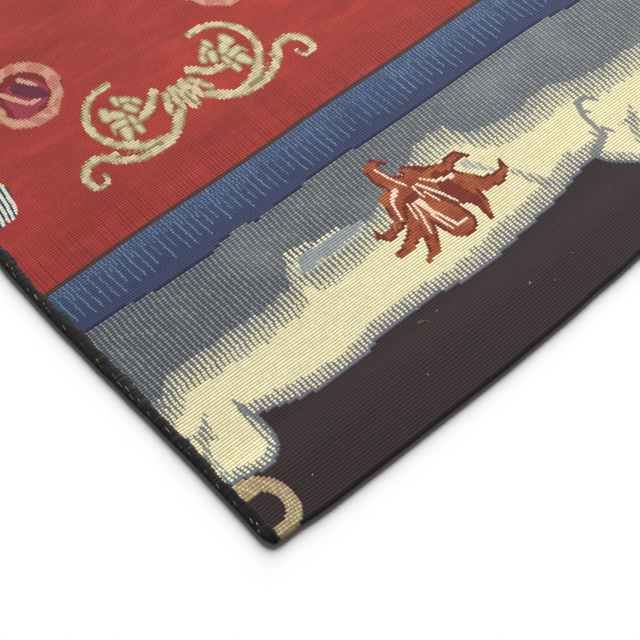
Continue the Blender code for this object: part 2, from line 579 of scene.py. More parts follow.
arc_group, (at, centre, radius, start_turn, sweep, wide_a, wide_b) = new_group(
    "arc", (("Point", VECTOR), ("Centre", VECTOR), ("Radius", NUMBER), ("Start", NUMBER),
            ("Sweep", NUMBER), ("First", NUMBER), ("Last", NUMBER)))
away = vector_calc("SUBTRACT", at, centre)
away_x, away_y = x_and_y(away)
turn = calc("WRAP", calc("ARCTAN2", away_y, away_x) - start_turn - sweep * 0.5, math.pi, -math.pi)
past = calc("MAXIMUM", calc("ABSOLUTE", turn) - sweep * 0.5, 0) * radius
ring = vector_calc("LENGTH", away, out=1) - radius
share = within(turn / sweep + 0.5)
gap = calc("SQRT", ring * ring + past * past)
close_group(gap - calc("MULTIPLY_ADD", share, wide_b - wide_a, wide_a))
print("groups:", [g.name for g in bpy.data.node_groups])

# %% [markdown]
# ## From a table to a motif
# A motif is a short table: strokes as x and y of both ends and their half-widths, arcs as centre,
# radius, start and sweep in degrees and half-widths, dots as centre and radius. The nearest of them
# decides, so overlapping strokes melt into one shape.

# %% Draw a table of strokes
def draw(point, strokes=(), arcs=(), dots=()):
    """Distance to the nearest of the strokes, arcs and dots of one motif, in millimetres."""
    parts = [(stroke_group, ((x0, y0, 0), (x1, y1, 0), w0, w1)) for x0, y0, x1, y1, w0, w1 in strokes]
    parts += [(arc_group, ((x, y, 0), r, math.radians(start), math.radians(sweep), w0, w1))
              for x, y, r, start, sweep, w0, w1 in arcs]
    parts += [(None, dot) for dot in dots]
    nearest = None
    for group, values in parts:
        if group:
            node = new_node("ShaderNodeGroup")
            node.node_tree = group
            feed(node.inputs[0], point)
            for socket, value in zip(node.inputs[1:], values):
                socket.default_value = value
            distance = Value(node.outputs[0])
        else:
            distance = vector_calc("DISTANCE", point, (*values[:2], 0), out=1) - values[2]
        nearest = distance if nearest is None else calc("MINIMUM", nearest, distance)
    return nearest


print("brushes ready")

# %% [markdown]
# ## One square of weave
# Tapestry outlines step from rib to rib, because each weft turns back round a warp. So the design
# is worked out once for each little cell: a rib is 2 mm high, and a pass of weft is about 0.6 mm
# wide, half a pass to the side on every second rib.

# %% Cells of the weave
weave_material.node_tree.nodes["Material Output"].location = (1200, 500)
weave_shader = bsdf_of(weave_material)
weave_shader.location = (900, 500)
ink.update(tree=weave_material.node_tree, count=0)
RIB_MM, PASS = RIB * 1000, 0.6
ROW_OF_CELLS = 2048  # more cells than a rib has, so that each cell gets its own number

uv_node = new_node("ShaderNodeUVMap")
uv_node.uv_map = "weave"
uv = Value(uv_node.outputs[0])
raw_x, raw_y = (metres * 1000 for metres in x_and_y(uv))
rib = calc("FLOOR", raw_y / RIB_MM)
odd = calc("FLOORED_MODULO", rib, 2)
weft = calc("FLOOR", raw_x / PASS + odd * 0.5)
x = (weft - odd * 0.5) * PASS + PASS / 2
y = rib * RIB_MM + RIB_MM / 2
cell = rib * ROW_OF_CELLS + weft
groove = calc("ABSOLUTE", calc("FRACT", raw_y / RIB_MM) * 2 - 1)
groove = groove * groove
crest = 1 - groove
print("cells along a rib:", round(WIDTH * 1000 / PASS))

# %% [markdown]
# ## Repeats
# The border comes again every 362 mm. The field is mirrored about the middle of its scroll, so one
# half is drawn and the other half reads the same places backwards.

# %% Places in the repeat
REPEAT, BORDER_START, MIRROR = 362, -38, 165
border_x = calc("WRAP", x, BORDER_START + REPEAT, BORDER_START)
border_at = spot(border_x, y)
from_mirror = calc("ABSOLUTE", calc("WRAP", x, MIRROR + REPEAT / 2, MIRROR - REPEAT / 2) - MIRROR)
field_at = spot(MIRROR - from_mirror, y)
print("repeats in the length:", round(WIDTH * 1000 / REPEAT, 2))

# %% [markdown]
# ## Wool colours
# The shades were judged from the photo, in plain screen values.

# %% Palette
BROWN = wool(43, 33, 35)
BROWN_WARM = wool(57, 41, 42)
OUTLINE = wool(104, 109, 118)
CREAM = wool(240, 233, 192)
CREAM_DEEP = wool(230, 219, 172)
HATCH_GREY = wool(116, 121, 128)
SLATE = wool(80, 85, 94)
SLATE_LIGHT = wool(162, 163, 158)
SLATE_PALE = wool(158, 163, 164)
NAVY = wool(58, 66, 100)
NAVY_DARK = wool(34, 38, 74)
BLUE = wool(61, 80, 117)
BLUE_DEEP = wool(52, 64, 98)
BLUE_LIGHT = wool(122, 144, 172)
LINE_BROWN = wool(76, 50, 42)
RED = wool(172, 54, 46)
RED_DEEP = wool(128, 38, 35)
RED_BRIGHT = wool(196, 68, 58)
RUST = wool(163, 77, 44)
RUST_DARK = wool(116, 38, 28)
RUST_LIGHT = wool(188, 103, 60)
VEIN = wool(246, 218, 192)
TAN = wool(176, 154, 119)
TAN_PINK = wool(174, 140, 117)
SCROLL = wool(196, 180, 138)
SCROLL_LIGHT = wool(216, 202, 162)
SCROLL_SHADE = wool(150, 132, 92)
ROSE = wool(196, 126, 104)
ROSE_LIGHT = wool(212, 158, 132)
MAGENTA = wool(160, 56, 74)
WINE = wool(104, 36, 60)
CHALK = wool(226, 228, 206)

# %% [markdown]
# ## The brown guard and its wavy edge
# The outer guard is plain brown-black. Its inner edge is a wave with a hanging cream lobe in each
# repeat. `depth` is how far a cell lies inside the cream, so an outline is a narrow band of it. The
# cream beside it is hatched in upright lines that thin out as they go in, and the grooves between
# ribs in the hatching are painted grey as shade.

# %% Wavy edge and lobe
# Rows of x in the repeat and y of the edge
GUARD_EDGE = (
    (-38, 70.5), (45, 65.5), (60, 61.5), (80, 56.8), (100, 55.2), (118, 56), (130, 59.2), (150, 60.5),
    (175, 60.2), (195, 57.2), (215, 56), (240, 58.2), (265, 60.8), (290, 63.5), (310, 67.5),
    (324, 70.5),
)
# A stroke for each part of the lobe
LOBE = (
    (26, 54, 26, 72, 18, 18), (4, 61, 26, 54, 20, 18), (-10, 74, 4, 61, 20, 20),
)
edge_y = profile(border_x, GUARD_EDGE)
lobe = draw(border_at, LOBE)
depth = calc("MAXIMUM", y - edge_y, 0 - lobe)
HATCH = 3.5
pass_x = x + chance(rib + 500) * 0.6 + drift(y, 0.03) * 3
hatch_line, in_hatch = whole_and_part(pass_x / HATCH)
hatch_reach = drift(x, 0.02) * 4 + 10.5 + within((border_x - 190) / 60) * 5
margin = either((y - edge_y) / hatch_reach, lobe / -9) + chance(hatch_line) * 0.16
in_line = in_hatch < (0.72 - margin * 0.42)
# Grey hatching lines, and grey in the grooves between ribs as painted shade.
hatch_grey_and_groove_shade = both(either(in_line, groove > 0.55), both(margin < 1, depth > 0))
outline = both(depth > 0, depth < RIB_MM)
in_cream = depth > 0

colour = paint(BROWN, BROWN_WARM, clouds(50, 350))
cream = paint(CREAM, CREAM_DEEP, clouds(40, 200))
colour = paint(colour, cream, in_cream)
colour = paint(colour, HATCH_GREY, hatch_grey_and_groove_shade)
colour = paint(colour, OUTLINE, outline)
print("guard edge rows:", len(GUARD_EDGE))

# %% [markdown]
# ## Cream ground and grey creases
# In the cream, loose grey lines hint at folds of a ribbon. They are strokes, some of them cut into
# the same upright lines as the hatching.

# %% Grey creases
# Grey lines cut into the hatching
CREASES = (
    (3, 62, 9, 74, 2.6, 3), (9, 74, 20, 86, 3.2, 1.4), (4, 46, 4, 62, 2, 1.6),
    (284, 98, 288, 87, 2, 3), (289, 88, 293, 78, 3, 4),
)
# Whole grey lines
CURLS = (
    (-28, 72, -12, 80, 3.4, 3), (-12, 80, -10, 100, 2, 1.7), (-10, 100, -5, 110, 1.8, 2.6),
    (-5, 110, 2, 111, 2.6, 1.8), (2, 110, 7, 103, 1.6, 1.2), (-8, 104, -4, 98, 1.6, 1),
    (-8, 84, -5, 78, 1.6, 1.2), (-16, 82, -17, 88, 1.2, 0.8), (42, 62, 39, 82, 2.2, 1.2),
)
crease = both(draw(border_at, CREASES) < 0, in_hatch < 0.62)
crease = both(either(crease, draw(border_at, CURLS) < 0), in_cream)
colour = paint(colour, HATCH_GREY, crease * 0.85)
print("crease strokes:", len(CREASES) + len(CURLS))

# %% [markdown]
# ## The grey-blue band
# Above the cream comes a band of grey, dark and light passes side by side, so it looks dotted.
# Cream and grey run into each other in long hatching lines. The light passes and the cream lie
# mostly on the rib crests, so the grooves keep the darker grey as painted shade.

# %% Hatched band
# Rows of x in the repeat and y where the grey takes over from the cream
BAND_EDGE = (
    (-38, 122), (-12, 124), (0, 119), (8, 115), (18, 113), (50, 112), (100, 112), (118, 116),
    (124, 128), (130, 117), (160, 118), (185, 121), (210, 130), (240, 141), (262, 147), (272, 146),
    (281, 134), (295, 127), (310, 124), (324, 122),
)
BAND_TOP, BAND_PITCH = 180, 3.7
band_edge = profile(border_x, BAND_EDGE) - (1 - within(x / 20)) * 20
band_line, in_pass = whole_and_part(pass_x / BAND_PITCH)
swing = chance(band_line + 700) * 3 + 8
turn_share = (y - band_edge + swing) / (swing * 2)
# Painted shade: cream only on the rib crests where the hatching turns; the grooves stay grey.
cream_left = both(both(turn_share < 1, crest > 0.4), in_pass > (turn_share * 0.5 + 0.22))
cream_left = either(cream_left, turn_share < 0)
in_band = both(1 - cream_left, y < BAND_TOP)
speckle = chance(cell) * 0.4 + chance(band_line + 200) * 0.2 + 0.45
# Painted shade: the light passes thin out towards the grooves between ribs.
slate = paint(SLATE, SLATE_LIGHT, (in_pass > 0.62) * crest * speckle)
pale = within((clouds(20, 20, 1) - 0.45) * 3)
slate = paint(slate, SLATE_PALE, pale * 0.25 + within((x - 130) / 150) * 0.16)
patch = draw(border_at, ((134, 131, 172, 130, 7.5, 6.5), (150, 129, 180, 131, 6, 4)))
slate = paint(slate, SLATE_PALE, both(patch < 0, in_pass < 0.9) * 0.9)
cap = draw(border_at, ((123, 124, 131, 140, 3, 4), (131, 142, 146, 141, 4, 2.5),
                       (146, 139, 168, 138, 2, 1.8)))
# Painted shade: the cream cap lies on the rib crests only; the grooves stay grey.
slate = paint(slate, CREAM, both(cap < 0, both(in_pass > 0.42, crest > 0.4)))
slate = paint(slate, SLATE_PALE, (turn_share < 1) * 0.3)
colour = paint(colour, slate, in_band)
print("upright lines in a repeat:", round(REPEAT / BAND_PITCH))

# %% [markdown]
# ## The blue band
# Navy first, then blue with fine light lines that start at uneven heights, and a brown line on top.

# %% Blue band
# Rows of x in the repeat and y of the lower edge
NAVY_EDGE = (
    (-38, 178.2), (30, 177.5), (62, 174.5), (98, 175), (108, 178.5), (127, 179.2), (131, 177),
    (160, 178.2), (215, 180.2), (222, 178), (290, 178.2), (324, 178.2),
)
BLUE_START, BROWN_LINE, FIELD_START, BLUE_PITCH = 185.5, 215.8, 219, 5.6
navy_edge = profile(border_x, NAVY_EDGE)
slope = within(x / 210) * 2.6
blue_line, in_blue = whole_and_part(pass_x / BLUE_PITCH)
long_line = both(in_blue < 0.22, y > chance(blue_line + 1100) * 11 + 183)
half_way = calc("FRACT", pass_x / BLUE_PITCH + 0.5)
short_line = both(half_way < 0.2, y > 211 - chance(blue_line + 1300) * 9)
line_shade = chance(blue_line + 1700) * 0.3 + chance(cell) * 0.4 + 0.15
blue = paint(BLUE_DEEP, BLUE, within((y - 184) / 22 * (clouds(60, 18) * 1.7)))
blue = paint(blue, BLUE_LIGHT, either(long_line, short_line) * line_shade)
blue = paint(NAVY, blue, y > BLUE_START)
blue = paint(blue, NAVY_DARK, (y - navy_edge) < 1.6)
colour = paint(colour, blue, y > navy_edge)
colour = paint(colour, LINE_BROWN, raw_y > BROWN_LINE + slope)
print("blue band and brown line, mm:", round(FIELD_START - NAVY_EDGE[0][1], 1))

# %% [markdown]
# ## The red field
# Madder red is never even: lines of a darker and a brighter dye lot run up from the border, and
# broader clouds of shade lie along the ribs.

# %% Red field
RED_PITCH, STREAK_REACH = 2.9, 44
red_line, in_red = whole_and_part(x / RED_PITCH)
streak = both(in_red < 0.5, chance(red_line + 1900) * 0.8 + 0.2)
streak = streak * within(1.15 - (y - FIELD_START - RIB_MM) / STREAK_REACH)
red = paint(RED, RED_DEEP, within(clouds(11, 30, 3) - 0.34))
red = paint(red, RED_BRIGHT, within((clouds(25, 75) - 0.48) * 1.6))
red = paint(red, RED_DEEP, streak * 0.95)
colour = paint(colour, red, raw_y > FIELD_START + slope)
print("red field starts at, mm:", FIELD_START)

# %% [markdown]
# ## Corner scroll
# A tan C closes the foot of each lobe, pinkish where it starts and paler at its tips.

# %% Corner scroll
scroll_c = draw(border_at, strokes=((1, 34, 12, 33, 6.5, 5.5), (2, 3, 10, 4, 4, 4)),
                arcs=((6, 18.5, 15.5, -72, 142, 4.6, 4.6),))
colour = paint(colour, TAN, scroll_c < 0)
pink_start = (clouds(70, 70, 1) + (y - 22) * 0.012) > 0.55
colour = paint(colour, TAN_PINK, both(scroll_c < 0, pink_start))
colour = paint(colour, CREAM_DEEP, both(scroll_c < -1, chance(cell + 90) > 0.7) * 0.7)
colour = paint(colour, SCROLL_SHADE, both(scroll_c < 0, chance(cell + 91) > 0.62) * 0.6)
after_corner = colour
print("nodes so far:", ink["count"])

# %% [markdown]
# ## Rust leaf
# The large leaf of the border is built from fat tapered strokes that meet in its middle, darker
# along its rim and right side, lighter at its tips, with fine pale veins fanning down.

# %% Rust leaf
# Fat strokes that fill its shape
LEAF_BODY = (
    (214, 150, 215, 158, 5.5, 5), (215, 159, 220, 162, 5, 3.4), (220, 162, 226, 157, 3, 0.9),
    (214, 149, 222, 136, 5, 8), (207, 134, 236, 135, 5.5, 6), (231, 145, 237, 136, 4, 6.5),
    (237, 134, 254, 129, 6.5, 4.5), (254, 130, 264, 133, 4.5, 4), (264, 133, 271, 127, 3.6, 1),
    (222, 130, 226, 112, 14, 12), (226, 112, 229, 91, 12, 11), (238, 122, 248, 108, 13, 10),
    (250, 108, 251, 95, 8, 5), (251, 95, 247, 81, 4.6, 1.6), (250, 119, 262, 104, 7.5, 6),
    (262, 104, 273, 101, 6, 4.8), (273, 101, 281, 104, 4.8, 3.2), (281, 104, 284, 112, 3, 1),
    (208, 130, 202, 116, 7, 4.6), (202, 115, 188, 112, 3.6, 4), (188, 112, 183, 116, 3.2, 2.2),
    (183, 116, 184, 122, 2, 0.9), (213, 117, 203, 104, 6, 5), (203, 104, 192, 98, 5, 4),
    (192, 98, 184, 97, 4, 2.6), (184, 97, 182, 100, 2.2, 1), (216, 114, 209, 97, 6, 5.2),
    (209, 97, 203, 86, 5.2, 4), (203, 86, 194, 82, 3.6, 1.6),
)
# Darker parts
LEAF_SHADE = (
    (244, 128, 243, 112, 4, 6), (243, 112, 249, 98, 6.5, 4), (250, 100, 247, 82, 3.5, 1),
    (234, 118, 238, 102, 2.5, 2), (205, 96, 197, 95, 2, 2), (236, 146, 240, 138, 2.5, 2.5),
    (214, 124, 226, 126, 3, 2),
)
# Pale veins
LEAF_VEINS = (
    (217, 157, 219, 147, 0.8, 0.8), (219, 147, 224, 134, 0.8, 0.7), (215, 136, 209, 132, 2.2, 1.4),
    (208, 132, 203, 117, 0.9, 0.7), (214, 123, 211, 111, 0.7, 0.6), (217, 122, 216, 114, 0.9, 0.9),
    (216, 114, 210, 97, 0.9, 0.7), (221, 120, 222, 108, 2.6, 1.4), (220, 108, 223, 90, 0.9, 0.7),
    (223, 108, 227, 92, 0.9, 1.2), (227, 91, 234, 91, 1.3, 1.8), (226, 132, 226, 120, 0.9, 0.6),
    (229, 132, 236, 117, 0.9, 1), (236, 117, 240, 105, 1, 0.7), (229, 124, 232, 112, 0.8, 0.6),
    (234, 133, 241, 125, 0.8, 1.1), (241, 125, 251, 122, 1, 1.9),
)
leaf = draw(border_at, LEAF_BODY)
rust = paint(RUST, RUST_LIGHT, within((clouds(60, 60) - 0.42) * 4))
rust = paint(rust, RUST_DARK, both(leaf > -2.2, clouds(90, 90, 1) > 0.45))
rust = paint(rust, RUST_DARK, chance(cell + 60) * clouds(60, 120, 1) * 0.9)
rust = paint(rust, RUST_DARK, (draw(border_at, LEAF_SHADE) < 0) * 0.85)
rust = paint(rust, VEIN, draw(border_at, LEAF_VEINS) < 0)
glint = both(draw(border_at, ((265, 123, 275, 108, 3.6, 1.6),)) < 0, in_pass > 0.3)
colour = paint(colour, SLATE_PALE, glint * 0.8)
colour = paint(colour, rust, leaf < 0)
after_leaf = colour
print("leaf strokes:", len(LEAF_BODY) + len(LEAF_SHADE) + len(LEAF_VEINS))

# %% [markdown]
# ## Scroll, grapes and leaf spray of the field
# In the field a cream scroll curls round a bunch of grapes and is mirrored about a small spray of
# leaves. Each grape is an egg with an olive underside.

# %% Field scroll
# Curls of the stem
SCROLL_ARCS = (
    (77.5, 267.5, 6, 172, 205, 3, 1.4), (84, 270, 12.2, 28, 152, 3.4, 3.4),
    (122, 298.5, 36, 217, 106, 3.2, 3.8), (127, 301, 28.5, 84, 160, 2.8, 3.4),
)
# Straight parts of the stem, and the spray
SCROLL_STROKES = (
    (108, 279, 118, 270, 3.4, 4.4), (118, 270, 138, 266, 4.4, 3), (138, 266, 153, 279, 3, 4),
    (98, 277, 93, 278, 3, 3.2), (150, 304, 138, 293, 3.4, 3.6), (138, 293, 128, 291, 3.6, 3),
    (148, 283, 155, 297, 2.6, 3.4), (156, 280, 160, 298, 2.4, 3.6), (163, 277, 163, 298, 2.2, 3),
)
# A stroke for each grape
GRAPES = (
    (114, 311, 113, 306, 4.2, 4.8), (118, 305, 121, 302, 4.6, 4.2), (126, 316, 125, 311, 3.4, 2.6),
    (130, 312, 133, 310, 3.6, 3), (136, 307, 137, 304, 3, 3.2), (129, 305, 131, 300, 4, 3.6),
    (113, 297, 119, 296, 4, 4.2), (110, 295, 109, 291, 1.8, 1.2), (125, 296, 125, 292, 3.2, 3.2),
    (116, 289, 114, 283, 5, 3.6), (124, 287, 124, 282, 3.4, 3),
)
stem = draw(field_at, SCROLL_STROKES, SCROLL_ARCS)
shade_side = clouds(120, 120, 1)
scroll = paint(SCROLL, SCROLL_LIGHT, within((shade_side - 0.42) * 5))
scroll = paint(scroll, SCROLL_SHADE, both(stem > -1.5, shade_side < 0.52))
colour = paint(colour, scroll, stem < 0)
split = draw(field_at, ((104, 274, 116, 268, 0.6, 0.9), (116, 268, 127, 266, 0.9, 1.7)))
colour = paint(colour, SCROLL_SHADE, split < 0)
grape = draw(field_at, GRAPES)
berry = paint(SCROLL_LIGHT, SCROLL_SHADE, within((grape + 2.6) * 0.5))
colour = paint(colour, berry, grape < 0)
print("grapes:", len(GRAPES))

# %% [markdown]
# ## Rose
# A half-open rose: an outer ring of pink petals, a magenta heart, and a dark fold beside it.

# %% Rose
PETALS = (
    (60, 352, 64, 342, 3, 4), (64, 342, 74, 335, 4.2, 4), (74, 335, 90, 335, 4, 4.2),
    (90, 336, 102, 346, 4.4, 4), (102, 346, 106, 360, 4, 4.4),
)
LIP = (
    (88, 349, 81, 351, 1.8, 1.8), (81, 351, 76, 360, 1.8, 2), (76, 360, 71, 370, 2, 1.8),
    (94, 362, 88, 372, 1.6, 2),
)
petals = draw(field_at, PETALS, arcs=((84, 361, 23, -8, 200, 4.6, 4.6),))
heart = draw(field_at, dots=((76, 347, 8.5), (84, 358, 15)))
dark_fold = draw(field_at, ((92, 352, 84, 366, 5, 6),))
lip = draw(field_at, LIP)
colour = paint(colour, RED_DEEP, draw(field_at, dots=((84, 361, 27),)) < 0)
colour = paint(colour, MAGENTA, heart < 0)
colour = paint(colour, WINE, dark_fold < 0)
colour = paint(colour, ROSE, petals < 0)
colour = paint(colour, ROSE_LIGHT, both(petals < -1.4, clouds(100, 100, 1) > 0.46))
colour = paint(colour, ROSE_LIGHT, lip < 0)
print("rose strokes:", len(PETALS) + len(LIP))

# %% [markdown]
# ## Striped bud
# A small bud striped in chalk white and blue stands beside the binding.

# %% Striped bud
bud = draw(field_at, ((17, 287, 22, 302, 8.5, 8), (10, 281, 14, 286, 3, 5)))
stripe = calc("FRACT", (x - (y - 290) * 0.22 + clouds(30, 30) * 6) / 4.2) < 0.4
colour = paint(colour, CHALK, bud < 0)
colour = paint(colour, BLUE_DEEP, both(bud < 0, stripe))
after_field = colour
print("nodes so far:", ink["count"])

# %% [markdown]
# ## Yarn, ribs and grooves
# Every pass of weft takes the dye a little differently and whole ribs drift in tone. The grooves
# between ribs are darkened as painted shade, less in the red field, and the whole colour is painted
# lighter from left to right as painted light. The tiny ridges of the passes are a bump.

# %% Yarn variation, painted shade and light, and bump
fleck = chance(cell) * 0.22 + chance(rib + 3100) * 0.06 + clouds(6, 6, 3) * 0.16
# Painted light: the colour grows lighter from left to right over the first 330 mm.
painted_light_gradient = within(raw_x / 330) * 0.13 + 0.80
# Painted shade: the grooves between ribs are darkened, less in the red field.
groove_painted_shade = 0.66 - (raw_y > FIELD_START) * 0.26
shade = (1 - groove * groove * groove_painted_shade) * (fleck + painted_light_gradient)
feed(weave_shader.inputs["Base Color"], scaled(colour, shade))

ridge = calc("SINE", calc("FRACT", raw_x / PASS + odd * 0.5) * math.pi)
woollen(weave_material, ridge + clouds(4000, 1400, 1) * 0.5, 0.55, 0.00016, 0.12, 0.2)
print("nodes in the weave:", len(weave_material.node_tree.nodes))

# %% [markdown]
# ## Only the part of the design that a face shows
# Most of the cloth has no leaf, rose or scroll on it, so working them out there wastes time. Copies
# of the material skip some of the painting, and each face wears the lightest copy that still shows
# all that is woven there. Nothing changes to the eye.

# %% Lighter copies of the weave
BORDER_END = 222
# Boxes round the motifs: left, right, front and back
LEAF_BOX = ((178, 290, 76, 168),)
FIELD_BOXES = (
    (66, 264, 254, 338),
    (54, 112, 326, 390), (218, 276, 326, 390),
    (-4, 36, 272, 314), (294, 334, 272, 314),
)


def skipping(name, before, after):
    """A copy of the weave in which the painting between two stages is left out."""
    made = weave_material.copy()
    made.name = name
    nodes, links = made.node_tree.nodes, made.node_tree.links
    start = nodes[before.socket.node.name].outputs[2]
    end = nodes[after.socket.node.name].outputs[2]
    for link in list(end.links):
        links.new(start, link.to_socket)
    return made


def touches(boxes, x0, x1, y0, y1):
    """True if a face overlaps one of the boxes in any repeat."""
    return any(x1 > left + REPEAT * turn and x0 < right + REPEAT * turn and y1 > front and y0 < back
               for left, right, front, back in boxes for turn in (0, 1, 2))


weaves = [
    skipping("weave_border", after_corner, after_field),
    skipping("weave_leaf", after_leaf, after_field),
    skipping("weave_red", red, after_field),
    skipping("weave_motifs", red, after_leaf),
]
cloth.data.materials.clear()
for weave in weaves:
    cloth.data.materials.append(weave)
places = cloth.data.uv_layers["weave"].data
for face in cloth.data.polygons:
    xs = [places[corner].uv[0] * 1000 for corner in face.loop_indices]
    ys = [places[corner].uv[1] * 1000 for corner in face.loop_indices]
    reach = (min(xs), max(xs), min(ys), max(ys))
    if sum(ys) / len(ys) < BORDER_END:
        face.material_index = 1 if touches(LEAF_BOX, *reach) else 0
    else:
        face.material_index = 3 if touches(FIELD_BOXES, *reach) else 2
worn = [face.material_index for face in cloth.data.polygons]
print("faces for each weave:", [worn.count(number) for number in range(len(weaves))])

# %% [markdown]
# ## The overcast binding
# The left side is finished by whipping black wool round and round the edge, about one turn to each
# millimetre. A dark bar stands for the cords inside. The yarn is one long tube that circles the bar
# and dips into the cloth a millimetre or two in from its edge, a little further at some turns than
# at others, which is what makes the inner line of a hand binding uneven.

# %% A tube along a line of points
def add_tube(points, faces, line, radii, sides=6, across=Vector((0, 1, 0))):
    """Add a yarn that follows a line of points; `across` is any way the line never runs along."""
    first = len(points)
    for number, at in enumerate(line):
        way = line[min(number + 1, len(line) - 1)] - line[max(number - 1, 0)]
        out = way.cross(across).normalized()
        beside = out.cross(way).normalized()
        for side in range(sides):
            turn = 2 * math.pi * side / sides
            points.append(at + (out * math.cos(turn) + beside * math.sin(turn)) * radii[number])
    for ring in range(len(line) - 1):
        for side in range(sides):
            a = first + ring * sides + side
            b = first + ring * sides + (side + 1) % sides
            faces.append((a, b, b + sides, a + sides))
    faces.append(tuple(first + side for side in range(sides - 1, -1, -1)))
    faces.append(tuple(len(points) - sides + side for side in range(sides)))


def round_line(knots, steps):
    """A smooth line through a few points."""
    line = []
    for number in range(len(knots) - 1):
        a, b = knots[max(number - 1, 0)], knots[number]
        c, d = knots[number + 1], knots[min(number + 2, len(knots) - 1)]
        for step in range(steps):
            t = step / steps
            line.append(((b * 2) + (c - a) * t + (a * 2 - b * 5 + c * 4 - d) * t * t
                         + (b * 3 - a - c * 3 + d) * t * t * t) * 0.5)
    return line + [knots[-1]]


print("tube ready")

# %% [markdown]
# ## How thick the binding is
# The yarn is drawn tight round the near corner, so the binding starts as a small nose there and
# reaches its full size over the first centimetre. After that its outside follows the edge table.

# %% Size of the binding along its edge
BINDING_THICK, BINDING_GAP = 0.0046, 0.0004
# Rows of y up the side, share of the full width and share of the full thickness
BINDING_NOSE = (
    (-2.2, 0.26, 0.50), (-1.6, 0.42, 0.70), (-0.2, 0.60, 0.85), (2.2, 0.80, 0.95), (6, 0.95, 1.00),
    (12, 1.00, 1.00),
)


def binding_size(y):
    """Inner x, outer x and height of the binding at y."""
    inner = side_line(y) - BINDING_GAP
    share = read_line(BINDING_NOSE, y) * 1000
    thick = read_line(BINDING_NOSE, y, column=2) * 1000
    return inner, inner - share * (inner - read_line(BINDING_LINE, y)), BINDING_THICK * thick


def cloth_top(y):
    """Height of the face of the cloth at y, just past the fold or further in."""
    return sheet_path(max(y, 0.003))[1] + MIDDLE


print("binding at 100 mm:", [round(v * 1000, 2) for v in binding_size(0.100)])

# %% [markdown]
# ## The bar under the yarn
# First the bar, a flattened oval just inside the turns of yarn. It only shows between them, so its
# sides can be few.

# %% Bar inside the binding
YARN, BAR_SIDES = 0.00050, 14


def build_bar(name, material):
    """The cords inside the binding as one closed bar."""
    points, faces = [], []
    rows = [-0.0018, -0.0008, 0.0006, 0.003, 0.006] + [0.010 + 0.490 * step / 49 for step in range(50)]
    for y in rows:
        inner, outer, thick = binding_size(y)
        middle, half = (inner + outer) / 2, (inner - outer) / 2 - YARN
        for side in range(BAR_SIDES):
            turn = 2 * math.pi * side / BAR_SIDES
            height = (thick / 2 - YARN) * math.sin(turn) + thick / 2
            points.append(CORNER + Vector((middle + half * math.cos(turn), y, height)))
    for row in range(len(rows) - 1):
        for side in range(BAR_SIDES):
            a, b = row * BAR_SIDES + side, row * BAR_SIDES + (side + 1) % BAR_SIDES
            faces.append((b, a, a + BAR_SIDES, b + BAR_SIDES))
    faces.append(tuple(range(BAR_SIDES)))
    faces.append(tuple(len(points) - 1 - side for side in range(BAR_SIDES)))
    return new_mesh_object(name, points, faces, material)


bar_material = new_material("binding_cord", (0.012, 0.012, 0.013), 0.92)
bar = build_bar("binding_bar", bar_material)
print("bar faces:", len(bar.data.polygons))

# %% [markdown]
# ## Turn after turn
# Then the yarn. Each turn is a loop of ten points round the bar, drawn into a smooth line. Over the
# top it runs straight across the edge, and it moves on to the next turn underneath.

# %% Turns of black yarn
PITCH, FIRST_TURN = 0.00100, -0.0014
dice = random.Random(7)


def binding_loop(y, reach):
    """Ten points round the binding at y, from where the yarn leaves the cloth to where it comes back:
    x, height, and how far on the way to the next turn."""
    inner, outer, thick = binding_size(y)
    width = inner - outer
    face = max(min(cloth_top(y), thick - 0.0002), 0.0012)
    over = min(reach, width * 0.4)
    return [
        (inner + over + 0.0003, face - 0.0003, 0),
        (inner + over * 0.8, face + YARN * 0.55, 0),
        (inner - width * 0.10, face + (thick - face) * 0.72, 0.02),
        (inner - width * 0.36, thick - YARN, 0.05),
        (inner - width * 0.66, thick - YARN * 1.25, 0.10),
        (inner - width * 0.90, thick * 0.72, 0.15),
        (outer + YARN, thick * 0.45, 0.22),
        (inner - width * 0.86, thick * 0.16 + YARN * 0.5, 0.35),
        (inner - width * 0.45, YARN, 0.65),
        (inner + over * 0.3, YARN * 1.05, 0.85),
    ]


def build_turns(name, material):
    """The whole length of yarn, one turn after another."""
    points, faces, knots, sizes = [], [], [], []
    turns = int((DEPTH - 0.0010 - FIRST_TURN) / PITCH)
    for turn in range(turns):
        y = FIRST_TURN + turn * PITCH
        reach = 0.0013 + 0.0005 * math.sin(y / 0.0093) + 0.0004 * math.sin(y / 0.0031 + 1)
        reach += dice.uniform(-0.0004, 0.0004)
        shift = dice.uniform(-0.00008, 0.00008)
        size = YARN * dice.uniform(0.92, 1.12)
        for x, z, ahead in binding_loop(y, reach):
            knots.append(CORNER + Vector((x, y + shift + ahead * PITCH, max(z, YARN * 1.15))))
            sizes += [size, size]
    line = round_line(knots, 2)
    add_tube(points, faces, line, sizes[:len(line)], sides=5)
    return new_mesh_object(name, points, faces, material), turns


turns_material = new_material("binding_wool", (0.02, 0.02, 0.022), 0.9)
turns_piece, turn_count = build_turns("binding_turns", turns_material)
print("turns of yarn:", turn_count, "faces:", len(turns_piece.data.polygons))

# %% [markdown]
# ## Black that is not one black
# Black wool is not one black. Each turn gets its own depth of shade, some of them browner, and fine
# fibre noise breaks up the shine.

